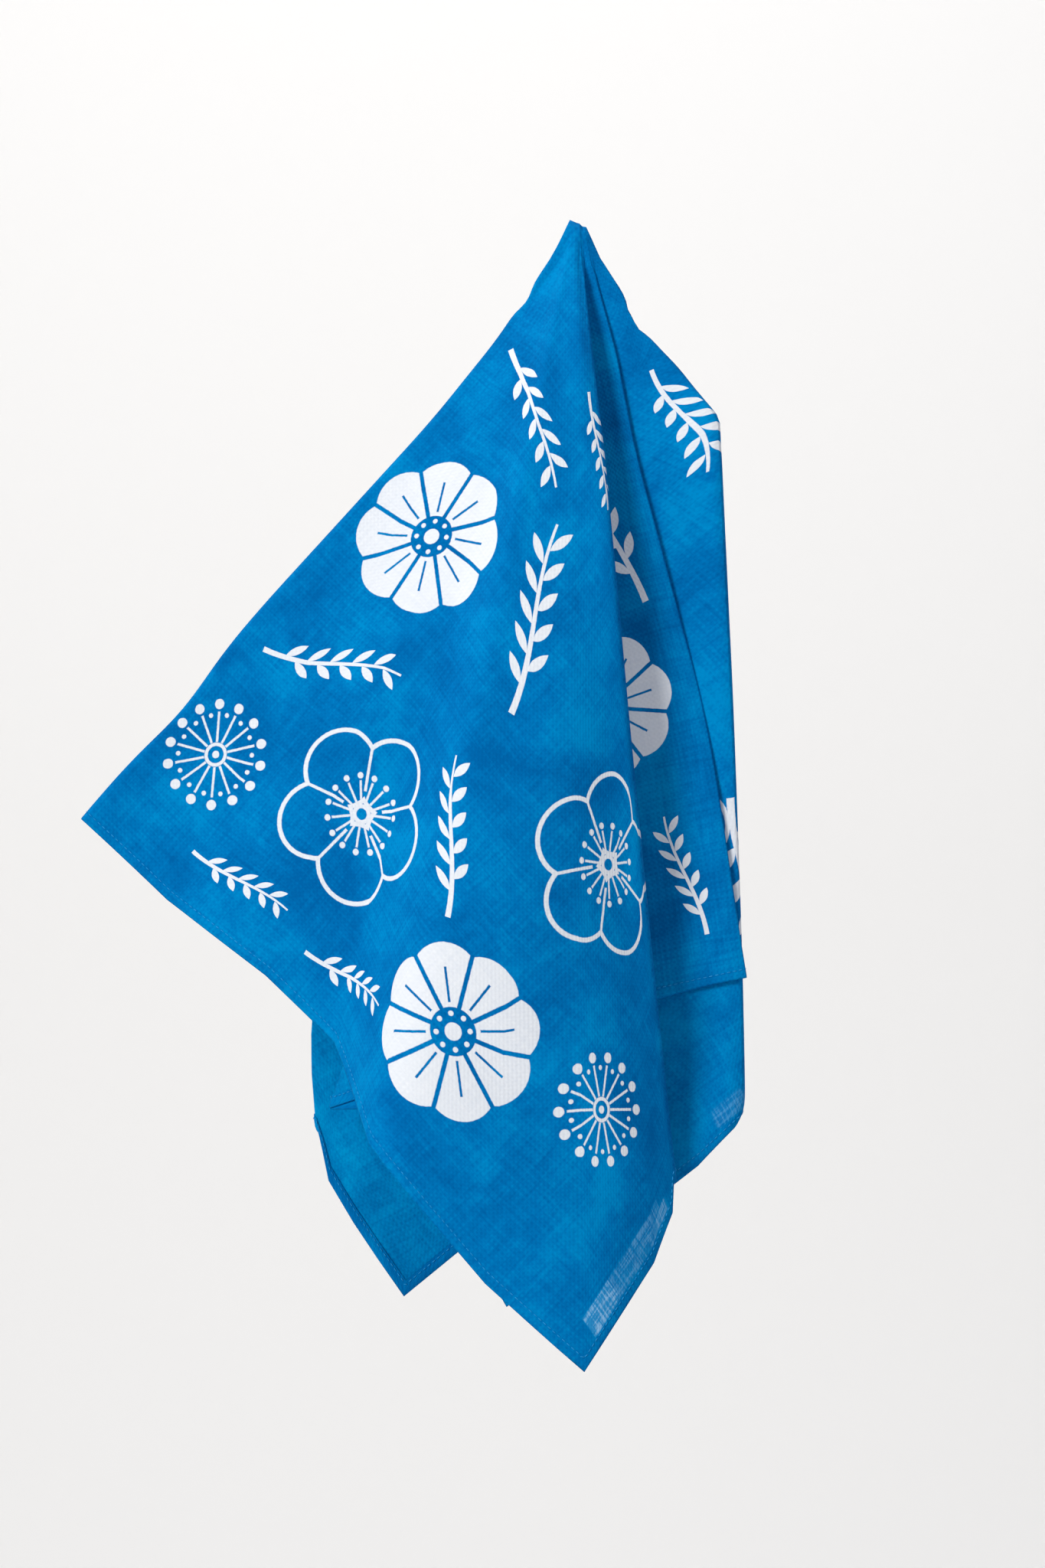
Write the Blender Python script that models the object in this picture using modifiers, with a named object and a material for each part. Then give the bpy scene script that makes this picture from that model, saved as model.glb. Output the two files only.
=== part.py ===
"""A printed cotton bandana, hung by the middle of the cloth so that it falls in fourteen layers.

The cloth is one square. Its middle is pinched and held up, and everything else hangs from there.
A point of the cloth is named by its direction from the middle, the cloth angle, and by how far
out it lies. Cloth angle 0 points at the corner that hangs in front, and 90, 180 and 270 at the
other corners, going round to the right. Each row of FOLDS is one line from the middle to the hem,
with the direction in which it hangs at five distances from the pinch. Between two rows the cloth
is plain, and at a row with a turn it folds back into the next layer.

Metres, +Z up. The pinch is the origin, the wall side is +Y and the front is -Y.
"""

import math
from bisect import bisect_right
from collections import namedtuple

import bmesh
import bpy
from mathutils import Vector

# Driving sizes of the cloth
SIDE = 0.52
THICKNESS = 0.001

# How finely it is divided: rings from the middle to the hem, and degrees of cloth per column
RINGS = 27
RING_CROWDING = 1.2
COLUMN_STEP = 6.5
SEEN_TURN_COLUMNS = 5
HIDDEN_TURN_COLUMNS = 3

# Depth of the hanging bundle, from the rear layer forwards
REAR_STANDS_BACK = 0.008
LEAST_DEPTH = 0.004
LEAST_DEPTH_FROM = 0.006
FIRM_DEPTH = 0.026
WIDENS_OVER = 0.050
HEM_DISTANCE = 0.300

# Turns from one layer to the next, and how far a corner in a table is rounded off
LEAST_PITCH = 0.0008
GENTLE_STEP = 0.0015
SOFTEN_HANG = 1.8
SOFTEN_DISTANCE = 0.010

# Slow ripple that all the layers share
RIPPLE = 0.0013
RIPPLE_WIDTH = 0.085
RIPPLE_HEIGHT = 0.21
RIPPLE_FADES_BY = 0.10

LEFT = -1
RIGHT = 1
PLAIN = 0

# Distances from the pinch at which each row of FOLDS gives a hang angle
HANG_DISTANCES = (0.045, 0.08, 0.17, 0.27, 0.36)

# Cloth angle and hang angles are in degrees. A hang angle is 0 straight down and + to the right.
# Reach is the share of the flat distance that is left once the cloth has slackened or swung.
# Turn says which way the fold points, and seen whether it can be looked at from the front.
Fold = namedtuple("Fold", "name cloth neck chest waist hip tip reach turn seen")
FOLDS = (
    Fold("wing", -45.0, -34.6, -36.5, -39.7, -39.9, -39.9, 0.983, LEFT, True),
    Fold("front_full", -36.0, -26.3, -28.0, -30.5, -30.8, -30.8, 0.990, PLAIN, True),
    Fold("front_slack", -27.0, -18.0, -19.6, -21.3, -21.8, -21.8, 0.979, PLAIN, True),
    Fold("sag_left", -21.0, -13.0, -14.0, -15.2, -15.6, -15.6, 0.986, PLAIN, True),
    Fold("sag_right", -12.5, -9.0, -10.4, -12.0, -12.5, -12.5, 0.998, PLAIN, True),
    Fold("front_bow_left", -5.0, -3.4, -4.0, -4.6, -4.8, -4.8, 1.017, PLAIN, True),
    Fold("front_corner", 0.0, 0.0, 0.2, 0.4, 0.4, 0.4, 1.011, PLAIN, True),
    Fold("front_bow_right", 5.7, 3.7, 3.8, 3.8, 4.1, 4.3, 1.011, PLAIN, True),
    Fold("front_roll", 11.7, 7.5, 7.1, 6.1, 5.9, 6.0, 1.011, RIGHT, True),
    Fold("front_tuck", 24.9, 10.0, 2.2, -4.0, -7.2, -7.2, 0.975, LEFT, True),
    Fold("side_crease", 45.0, 17.7, 14.7, 14.9, 12.5, 12.5, 0.978, RIGHT, True),
    Fold("inner_fold", 77.9, 20.5, 5.0, -10.0, -15.4, -15.5, 0.975, LEFT, True),
    Fold("right_corner", 90.0, 25.0, 12.9, 3.0, -3.6, -3.6, 0.966, PLAIN, True),
    Fold("shoulder", 103.6, 33.2, 37.4, 17.9, 11.8, 9.0, 0.975, RIGHT, True),
    Fold("tuck_1", 135.0, 23.1, 3.4, -12.0, -18.0, -18.0, 0.970, LEFT, False),
    Fold("pleat_1", 165.0, 13.5, 9.1, 7.0, 9.3, 9.3, 0.955, RIGHT, False),
    Fold("rear_corner", 180.0, 8.7, 3.9, -1.0, -2.5, -2.5, 0.955, PLAIN, False),
    Fold("tuck_2", 197.0, 3.2, -1.9, -10.0, -15.2, -15.2, 0.955, LEFT, False),
    Fold("pleat_2", 226.0, -6.1, 5.2, 11.0, 12.0, 12.0, 0.970, RIGHT, False),
    Fold("tuck_3", 244.0, -11.8, -7.2, -6.0, -5.0, -5.0, 0.970, LEFT, False),
    Fold("pleat_3", 254.5, -15.2, -4.7, 2.0, 5.0, 5.0, 0.970, RIGHT, False),
    Fold("left_corner", 270.0, -20.2, -10.6, -7.5, -8.9, -8.9, 0.9755, PLAIN, True),
    Fold("left_bow", 276.1, -21.5, -14.0, -12.5, -14.8, -14.4, 0.9755, PLAIN, True),
    Fold("left_fold", 283.3, -23.0, -17.2, -17.0, -19.2, -13.6, 0.975, LEFT, True),
    Fold("back_tuck", 286.5, -26.0, -17.9, -13.5, -13.5, -13.5, 0.970, RIGHT, False),
)

# Where each layer lies through the depth of the bundle, 0 in front and 1 at the rear
LAYERS = (0.0, 0.10, 0.22, 0.30, 0.37, 0.48, 0.54, 0.60, 0.67, 0.74, 0.80, 0.86, 0.93, 1.0)

# Close to the pinch the folds have run out, and the cloth is a narrow cone of oval section
CONE_TO = 0.012
FOLDS_FROM = 0.055

# Depth of the whole bundle near the hem, by hang angle in degrees
Depth = namedtuple("Depth", "hang depth")
DEPTHS = (
    Depth(-40.0, 0.003),
    Depth(-34.0, 0.005),
    Depth(-30.0, 0.008),
    Depth(-18.0, 0.021),
    Depth(-15.6, 0.024),
    Depth(-12.5, 0.052),
    Depth(0.4, 0.058),
    Depth(6.0, 0.036),
    Depth(13.0, 0.027),
    Depth(37.0, 0.022),
)

# The layers before the shoulder make the front half of the cone
SHOULDER = next(fold for fold in FOLDS if fold.name == "shoulder")
FRONT_LAYERS = 5

Station = namedtuple("Station", "cloth hang layer reach")


def clamp(value, low=0.0, high=1.0):
    return max(low, min(high, value))


def between(low, high, share):
    return low + (high - low) * share


def straight_through(points, at):
    """The value at a place, on straight lines through (place, value) points."""
    places = [place for place, _ in points]
    if at <= places[0]:
        return points[0][1]
    if at >= places[-1]:
        return points[-1][1]
    after = bisect_right(places, at)
    start, end = points[after - 1], points[after]
    return between(start[1], end[1], (at - start[0]) / (end[0] - start[0]))


def softened(points, at, width):
    """The same with the corners rounded off over this width on both sides."""
    steps = (-1.0, -0.5, 0.0, 0.5, 1.0)
    return sum(straight_through(points, at + width * step) for step in steps) / len(steps)


def hem_distance(cloth_angle):
    """How far the hem is from the middle of the flat square in this direction."""
    return SIDE / 2 / math.cos(math.radians(abs(cloth_angle % 90 - 45)))


def flat_distance(cloth_angle, out):
    """Distance from the middle on the flat cloth. The rings start round and end as square as the hem."""
    half = SIDE / 2
    return out * half + out**2 * (hem_distance(cloth_angle) - half)


def hang_angle(fold, distance):
    """Degrees from straight down at which a row hangs, this far from the pinch.

    The sideways place is what runs smoothly, because a fold in cloth is a nearly straight line.
    """
    angles = (fold.neck, fold.chest, fold.waist, fold.hip, fold.tip)
    line = [(at, at * math.sin(math.radians(a))) for at, a in zip(HANG_DISTANCES, angles)]
    line = [(-line[0][0], -line[0][1])] + line + [(2 * line[-1][0], 2 * line[-1][1])]
    return math.degrees(math.asin(softened(line, distance, SOFTEN_DISTANCE) / distance))


def bundle_depth(distance, hang):
    """Depth of all the layers together: thin at the pinch, deep where the front panel swings out."""
    at_hem = softened(DEPTHS, hang, SOFTEN_HANG)
    firm = math.tanh(distance / WIDENS_OVER) * min(at_hem, FIRM_DEPTH)
    loose = max(at_hem - FIRM_DEPTH, 0.0) * distance / HEM_DISTANCE
    return max(LEAST_DEPTH * clamp(distance / LEAST_DEPTH_FROM), firm + loose)


def cone_share(distance, hang, layer):
    """Place through the depth on the oval of the cone, between the wing fold and the shoulder."""
    left, right = hang_angle(FOLDS[0], distance), hang_angle(SHOULDER, distance)
    across = clamp((2 * hang - left - right) / (right - left), -1.0, 1.0)
    half = 0.5 * math.sqrt(1 - across**2)
    in_front = -0.5 <= layer <= FRONT_LAYERS - 0.5
    return 0.5 - half if in_front else 0.5 + half


def layer_share(layer):
    """Layer -1 stands for the rear one, so that the wing fold runs from -1 to 0."""
    if layer < 0:
        return -layer
    return straight_through(tuple(enumerate(LAYERS)), layer)


def depth_of(distance, hang, layer):
    """The Y of a point: layers keep their order at every place, so they never cross."""
    rear = REAR_STANDS_BACK * math.tanh(distance / WIDENS_OVER)
    x = distance * math.sin(math.radians(hang))
    z = distance * math.cos(math.radians(hang))
    wave = math.sin(math.tau * (x / RIPPLE_WIDTH + z / RIPPLE_HEIGHT))
    ripple = RIPPLE * clamp(distance / RIPPLE_FADES_BY) * wave
    folded = clamp((distance - CONE_TO) / (FOLDS_FROM - CONE_TO))
    share = between(cone_share(distance, hang, layer), layer_share(layer), folded)
    return rear + ripple - bundle_depth(distance, hang) * (1 - share)


def fold_stations(index, layer, out):
    """The points of one row's turn, at a share of the way out from the middle to the hem.

    Where the cloth really doubles back, the turn is a half circle from one layer to the next.
    Near the pinch the pleats have run out, and it is a step down to the next layer instead.
    """
    fold, before, after = FOLDS[index], FOLDS[index - 1], FOLDS[(index + 1) % len(FOLDS)]
    distance = flat_distance(fold.cloth, out) * fold.reach
    hang = hang_angle(fold, distance)
    if fold.turn == PLAIN:
        return [Station(fold.cloth, hang, layer, fold.reach)]

    pitch = abs(depth_of(distance, hang, layer) - depth_of(distance, hang, layer - 1))
    pitch = max(pitch, LEAST_PITCH)
    to_before = math.radians(hang - hang_angle(before, distance)) * distance
    to_after = math.radians(hang - hang_angle(after, distance)) * distance
    roundness = clamp(min(fold.turn * to_before, fold.turn * to_after) / pitch)
    gap = min(abs(to_before), abs(to_after))
    half_step = math.copysign(min(max(pitch / 2, GENTLE_STEP), 0.4 * gap), to_before)
    room = 0.45 * min((fold.cloth - before.cloth) % 360, (after.cloth - fold.cloth) % 360)
    spread = min(math.degrees(math.pi / 4 * pitch / distance), room)

    stations = []
    columns = SEEN_TURN_COLUMNS if fold.seen else HIDDEN_TURN_COLUMNS
    for column in range(columns):
        side = 2 * column / (columns - 1) - 1
        angle = side * math.pi / 2
        step = half_step * math.sin(angle) * (1 - roundness)
        bend = fold.turn * pitch / 2 * (math.cos(angle) - 1) * roundness
        shift = math.degrees((step + bend) / distance)
        through = layer - 1 + (1 + math.sin(angle)) / 2
        stations.append(Station(fold.cloth + side * spread, hang + shift, through, fold.reach))
    return stations


def ring_stations(out):
    """All the points of one ring round the cloth, starting and ending at the wing fold."""
    rows = []
    layer = -1
    for index, fold in enumerate(FOLDS):
        layer += abs(fold.turn)
        rows.append(fold_stations(index, layer, out))
    wing = rows[0][0]
    closing = Station(wing.cloth + 360, wing.hang, wing.layer + len(LAYERS), wing.reach)
    rows.append([closing])

    stations = []
    row_angles = [fold.cloth for fold in FOLDS] + [FOLDS[0].cloth + 360]
    for index, row in enumerate(rows[:-1]):
        stations += row
        start, end = row[-1], rows[index + 1][0]
        steps = max(1, round((row_angles[index + 1] - row_angles[index]) / COLUMN_STEP))
        for step in range(1, steps):
            stations.append(Station(*(between(a, b, step / steps) for a, b in zip(start, end))))
    stations.append(closing)
    return stations


def place(station, out):
    """Where a point of the cloth hangs."""
    distance = flat_distance(station.cloth, out) * station.reach
    if distance == 0:
        return Vector((0, 0, 0))
    layer = station.layer
    if layer > len(LAYERS) - 1:
        layer -= len(LAYERS)
    hang = math.radians(station.hang)
    depth = depth_of(distance, station.hang, layer)
    return Vector((distance * math.sin(hang), depth, -distance * math.cos(hang)))


def make_cloth():
    """A grid whose rows are the rings of the square, drawn together at the pinch and the seam."""
    outs = [(ring / RINGS) ** RING_CROWDING for ring in range(RINGS + 1)]
    rings = [ring_stations(max(out, outs[1] / 2)) for out in outs]
    columns = len(rings[0]) - 1

    cloth = bmesh.new()
    bmesh.ops.create_grid(cloth, x_segments=columns, y_segments=RINGS, size=0.5)
    for vertex in cloth.verts:
        column = round((vertex.co.x + 0.5) * columns)
        ring = round((vertex.co.y + 0.5) * RINGS)
        vertex.co = place(rings[ring][column], outs[ring])
    bmesh.ops.remove_doubles(cloth, verts=cloth.verts, dist=1e-6)
    bmesh.ops.recalc_face_normals(cloth, faces=cloth.faces)

    mesh = bpy.data.meshes.new("bandana_cloth")
    cloth.to_mesh(mesh)
    cloth.free()
    mesh.shade_smooth()
    return mesh


def printed_cotton():
    """Blue cotton lawn. The white print isn't a shape, so it is left to the finish."""
    material = bpy.data.materials.new("printed_cotton")
    material.use_nodes = True
    shader = material.node_tree.nodes["Principled BSDF"]
    shader.inputs["Base Color"].default_value = (0.0, 0.162, 0.527, 1)
    shader.inputs["Roughness"].default_value = 0.85
    shader.inputs["Metallic"].default_value = 0.0
    return material


def main():
    for old in list(bpy.data.objects):
        bpy.data.objects.remove(old)
    bandana = bpy.data.collections.new("bandana")
    bpy.context.scene.collection.children.link(bandana)

    cloth = bpy.data.objects.new("bandana_cloth", make_cloth())
    cloth.data.materials.append(printed_cotton())
    bandana.objects.link(cloth)
    sheet = cloth.modifiers.new("sheet", "SOLIDIFY")
    sheet.thickness = THICKNESS
    sheet.offset = 0
    sheet.use_quality_normals = True


main()
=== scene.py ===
# %% [markdown]
# # A printed cotton bandana, hung by its middle
#
# The real thing is one square of fine blue cotton lawn, 52 cm on a side, with a narrow stitched hem
# and a white print. Its middle is pinched and held up, so the rest falls in long uneven pleats.
# This lesson dresses the plain solid of that bandana: a thin cloth on the solid's own folds, a hem
# that is really turned under, a line of stitches, and a finish with weave, dye and print.

# %% Load the solid that the cloth is fitted to
import math
from bisect import bisect_right
from collections import namedtuple

import bmesh
import bpy
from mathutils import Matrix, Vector


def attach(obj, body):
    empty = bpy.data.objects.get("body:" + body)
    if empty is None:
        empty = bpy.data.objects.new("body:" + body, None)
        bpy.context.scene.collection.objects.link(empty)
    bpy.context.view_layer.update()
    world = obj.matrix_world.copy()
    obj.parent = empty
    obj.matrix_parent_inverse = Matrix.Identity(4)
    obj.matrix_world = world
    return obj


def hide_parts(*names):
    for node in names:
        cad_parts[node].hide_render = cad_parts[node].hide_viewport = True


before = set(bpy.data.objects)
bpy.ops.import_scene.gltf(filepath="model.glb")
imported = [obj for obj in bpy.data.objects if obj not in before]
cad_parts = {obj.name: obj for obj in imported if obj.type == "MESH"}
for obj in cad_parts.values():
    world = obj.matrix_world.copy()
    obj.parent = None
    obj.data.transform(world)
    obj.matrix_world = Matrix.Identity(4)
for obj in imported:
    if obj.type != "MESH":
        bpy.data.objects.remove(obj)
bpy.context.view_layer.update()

# %% [markdown]
# ## The camera
#
# A small hanging thing is photographed from straight in front with a longish lens. Everything else is
# judged through this camera, so it is made first. It could be aimed with a constraint, but a plain
# location and a quarter turn say the same with nothing left live.

# %% Camera at the photograph's place
CAMERA_PLACE = (-0.0171, -1.400, -0.1845)
IMAGE_HEIGHT = 2048
FOCAL_LENGTH_PIXELS = 5525
SENSOR = 36.0


def put_in_scene(name, data):
    """A new object in the scene, at the origin."""
    thing = bpy.data.objects.new(name, data)
    bpy.context.scene.collection.objects.link(thing)
    return thing


camera_data = bpy.data.cameras.new("camera")
camera_data.sensor_width = SENSOR
camera_data.lens = FOCAL_LENGTH_PIXELS / IMAGE_HEIGHT * SENSOR
camera = put_in_scene("camera", camera_data)
camera.location = CAMERA_PLACE
camera.rotation_euler = (math.radians(90), 0, 0)
bpy.context.scene.camera = camera
print("lens", round(camera_data.lens, 1), "mm")

# %% [markdown]
# ## The folds
#
# A cloth held at one point falls in pleats that all start there. Simulation could drop a square and
# let it find some pleats, but never the ones in the picture. So the pleats are written down the way
# a draper would point them out: each row is one straight line drawn on the flat cloth from the
# middle to the hem, and says in which direction that line hangs at six distances from the pinch.
# A row with a turn is a fold, where the cloth doubles back into the next layer behind.

# %% The fold table
SIDE = 0.52

# The side to which a fold points, and a line where the cloth doesn't turn
LEFT = -1
RIGHT = 1
PLAIN = 0

# Distances from the pinch at which each row gives a hang angle
HANG_DISTANCES = (0.015, 0.045, 0.08, 0.17, 0.27, 0.36)

# Cloth and hang angles are in degrees, 0 at the front corner and straight down, + to the right.
# Reach is the share of the flat distance that is left once the cloth has slackened or swung, and a
# fold that is seen gets more columns of mesh.
Fold = namedtuple("Fold", "name cloth throat neck chest waist hip tip reach turn seen")
FOLDS = (
    Fold("wing", -45.0, -36.0, -34.6, -36.5, -39.7, -39.9, -39.9, 0.983, LEFT, True),
    Fold("front_full", -36.0, -28.2, -27.2, -29.0, -31.4, -31.2, -30.8, 0.990, PLAIN, True),
    Fold("front_slack", -27.0, -20.0, -19.6, -21.4, -23.3, -22.3, -21.8, 0.979, PLAIN, True),
    Fold("sag_left", -21.0, -15.0, -14.8, -16.0, -17.8, -16.4, -15.6, 0.986, PLAIN, True),
    Fold("sag_right", -12.5, -8.8, -9.4, -10.4, -12.0, -12.4, -12.5, 0.998, PLAIN, True),
    Fold("front_bow_left", -5.0, -2.8, -3.8, -4.2, -5.2, -4.9, -4.8, 1.017, PLAIN, True),
    Fold("front_corner", 0.0, 1.5, -0.2, -0.2, -0.4, 0.3, 0.4, 1.011, PLAIN, True),
    Fold("front_bow_right", 5.7, 6.0, 3.7, 3.8, 3.6, 4.0, 4.3, 1.011, PLAIN, True),
    Fold("front_brow", 9.0, 8.5, 5.8, 5.7, 5.2, 5.4, 5.6, 1.010, PLAIN, True),
    Fold("front_roll", 11.7, 11.0, 7.5, 7.1, 6.1, 5.9, 6.0, 1.011, RIGHT, True),
    Fold("front_tuck", 24.9, 13.0, 3.0, 2.2, -4.0, -7.2, -7.2, 0.975, LEFT, True),
    Fold("side_crease", 45.0, 24.0, 17.7, 14.7, 14.9, 12.5, 12.5, 0.978, RIGHT, True),
    Fold("inner_fold", 77.9, 27.0, 9.0, 5.0, -10.0, -15.4, -15.5, 0.975, LEFT, True),
    Fold("inner_bow", 80.0, 27.5, 11.1, 6.0, -7.5, -11.5, -11.5, 0.930, PLAIN, True),
    Fold("right_corner", 90.0, 31.0, 25.0, 12.9, 3.0, -3.6, -3.6, 0.964, PLAIN, True),
    Fold("lobe_bow", 99.5, 36.0, 31.0, 29.5, 13.6, 8.0, 6.8, 0.975, PLAIN, True),
    Fold("shoulder", 103.6, 38.0, 33.4, 36.5, 17.9, 11.9, 9.0, 0.984, RIGHT, True),
    Fold("tuck_1", 135.0, 30.0, 23.1, 3.4, -12.0, -18.0, -18.0, 0.970, LEFT, False),
    Fold("pleat_1", 165.0, 21.0, 13.5, 9.1, 7.0, 9.3, 9.3, 0.955, RIGHT, False),
    Fold("rear_corner", 180.0, 13.0, 8.7, 3.9, -1.0, -2.5, -2.5, 0.955, PLAIN, False),
    Fold("tuck_2", 197.0, 6.0, 3.2, -1.9, -10.0, -15.2, -15.2, 0.955, LEFT, False),
    Fold("pleat_2", 226.0, -5.0, -6.1, 5.2, 11.0, 12.0, 12.0, 0.970, RIGHT, False),
    Fold("tuck_3", 244.0, -12.0, -11.8, -7.2, -6.0, -5.0, -5.0, 0.970, LEFT, False),
    Fold("pleat_3", 254.5, -16.0, -15.2, -4.7, 2.0, 5.0, 5.0, 0.970, RIGHT, False),
    Fold("left_corner", 270.0, -21.5, -20.2, -11.6, -9.6, -10.2, -8.9, 0.9755, PLAIN, True),
    Fold("left_hem", 273.0, -22.7, -21.0, -13.5, -12.2, -13.4, -12.2, 0.9657, PLAIN, True),
    Fold("left_bow", 275.0, -23.5, -21.5, -14.8, -13.8, -15.8, -13.8, 0.962, PLAIN, True),
    Fold("left_curl", 276.3, -24.4, -22.2, -15.9, -15.2, -17.6, -13.6, 0.955, PLAIN, True),
    Fold("left_fold", 277.6, -25.0, -23.0, -17.2, -16.6, -19.9, -12.4, 0.951, LEFT, True),
    Fold("back_tuck", 286.5, -28.5, -26.0, -17.9, -13.5, -13.5, -13.5, 0.970, RIGHT, False),
)
SHOULDER = next(fold for fold in FOLDS if fold.name == "shoulder")

# Small bends in a line of the table: where, over what length, and by how many degrees
Nudge = namedtuple("Nudge", "distance width degrees")
NUDGES = {
    "wing": (Nudge(0.0285, 0.0045, 2.6), Nudge(0.205, 0.020, 0.6)),
    "shoulder": (
        Nudge(0.027, 0.005, 0.4),
        Nudge(0.037, 0.0055, -3.8),
        Nudge(0.058, 0.008, 0.5),
        Nudge(0.080, 0.005, 1.1),
        Nudge(0.304, 0.006, -0.9),
    ),
}
print(len(FOLDS), "lines,", sum(abs(fold.turn) for fold in FOLDS), "folds")

# %% [markdown]
# ## Reading the table
#
# Between two entries a value runs straight, and the corner at an entry is rounded off by averaging
# a few neighbours. A spline would do it too, but it overshoots where two entries lie close together,
# and an overshoot here pushes one layer of cloth through the next.

# %% Lines through a table
SOFTEN_SHARE = 0.12
SOFTEN_STEPS = (-1.0, -0.66, -0.33, 0.0, 0.33, 0.66, 1.0)


def clamp(value, low=0.0, high=1.0):
    return max(low, min(high, value))


def between(low, high, share):
    return low + (high - low) * share


def straight_through(points, at):
    """The value at a place, on straight lines through (place, value) points."""
    places = [place for place, _ in points]
    if at <= places[0]:
        return points[0][1]
    if at >= places[-1]:
        return points[-1][1]
    after = bisect_right(places, at)
    start, end = points[after - 1], points[after]
    return between(start[1], end[1], (at - start[0]) / (end[0] - start[0]))


def softened(points, at, width):
    """The same with the corners rounded off over this width on both sides."""
    values = [straight_through(points, at + width * step) for step in SOFTEN_STEPS]
    return sum(values) / len(values)


def hang_angle(fold, distance):
    """Degrees from straight down at which a line of the table hangs, this far from the pinch."""
    angles = (fold.throat, fold.neck, fold.chest, fold.waist, fold.hip, fold.tip)
    line = [(at, at * math.sin(math.radians(a))) for at, a in zip(HANG_DISTANCES, angles)]
    # One more point at each end leads the line straight through the pinch and on past the hem
    line = [(-line[0][0], -line[0][1])] + line + [(2 * line[-1][0], 2 * line[-1][1])]
    across = softened(line, distance, SOFTEN_SHARE * distance)
    hang = math.degrees(math.asin(across / distance))
    for nudge in NUDGES.get(fold.name, ()):
        hang += nudge.degrees * math.exp(-(((distance - nudge.distance) / nudge.width) ** 2))
    return hang


# %% [markdown]
# ## Depth
#
# Seen from the side the bundle is a narrow cone at the pinch and then a stack of layers, deepest
# where the front panel swings forward. Each layer has its own share of that depth, so that layers
# keep their order everywhere. That is what stops a cloth made by rule from passing through itself.

# %% How deep the bundle is, and where each layer lies in it
REAR_STANDS_BACK = 0.008
LEAST_DEPTH = 0.004
LEAST_DEPTH_FROM = 0.006
FIRM_DEPTH = 0.026
WIDENS_OVER = 0.050
HEM_HANGS_AT = 0.300
SOFTEN_HANG = 1.8

# Slow ripple that all the layers share
RIPPLE = 0.0013
RIPPLE_WIDTH = 0.085
RIPPLE_HEIGHT = 0.21
RIPPLE_FADES_BY = 0.10

# Close to the pinch the folds have run out, and the cloth is a narrow cone of oval section
CONE_TO = 0.004
FOLDS_FROM = 0.022
FRONT_LAYERS = 5

# Where each layer lies, 0 in front and 1 at the rear
LAYERS = (0.0, 0.05, 0.28, 0.31, 0.34, 0.44, 0.52, 0.59, 0.66, 0.73, 0.80, 0.86, 0.93, 1.0)

# Depth of the whole bundle near the hem, by hang angle in degrees
Depth = namedtuple("Depth", "hang depth")
DEPTHS = (
    Depth(-40.0, 0.003),
    Depth(-34.0, 0.005),
    Depth(-30.0, 0.008),
    Depth(-18.0, 0.021),
    Depth(-15.6, 0.024),
    Depth(-12.5, 0.053),
    Depth(-3.0, 0.057),
    Depth(1.5, 0.054),
    Depth(4.0, 0.047),
    Depth(6.3, 0.038),
    Depth(7.6, 0.033),
    Depth(13.0, 0.031),
    Depth(25.0, 0.041),
    Depth(37.0, 0.043),
)


def bundle_depth(distance, hang):
    at_hem = softened(DEPTHS, hang, SOFTEN_HANG)
    firm = math.tanh(distance / WIDENS_OVER) * min(at_hem, FIRM_DEPTH)
    loose = max(at_hem - FIRM_DEPTH, 0.0) * distance / HEM_HANGS_AT
    return max(LEAST_DEPTH * clamp(distance / LEAST_DEPTH_FROM), firm + loose)


def cone_share(distance, hang, layer):
    """Place through the depth on the oval of the cone, between the wing fold and the shoulder."""
    left, right = hang_angle(FOLDS[0], distance), hang_angle(SHOULDER, distance)
    across = clamp((2 * hang - left - right) / (right - left), -1.0, 1.0)
    half = 0.5 * math.sqrt(1 - across**2)
    in_front = -0.5 <= layer <= FRONT_LAYERS - 0.5
    return 0.5 - half if in_front else 0.5 + half


def layer_share(layer):
    """Layer -1 stands for the rear one, so that the wing fold runs from -1 to 0."""
    if layer < 0:
        return -layer
    return straight_through(tuple(enumerate(LAYERS)), layer)


def depth_of(distance, hang, layer):
    """The Y of a point before it is creased."""
    rear = REAR_STANDS_BACK * math.tanh(distance / WIDENS_OVER)
    x = distance * math.sin(math.radians(hang))
    z = distance * math.cos(math.radians(hang))
    wave = math.sin(math.tau * (x / RIPPLE_WIDTH + z / RIPPLE_HEIGHT))
    ripple = RIPPLE * clamp(distance / RIPPLE_FADES_BY) * wave
    folded = clamp((distance - CONE_TO) / (FOLDS_FROM - CONE_TO))
    share = between(cone_share(distance, hang, layer), layer_share(layer), folded)
    return rear + ripple - bundle_depth(distance, hang) * (1 - share)
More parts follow.
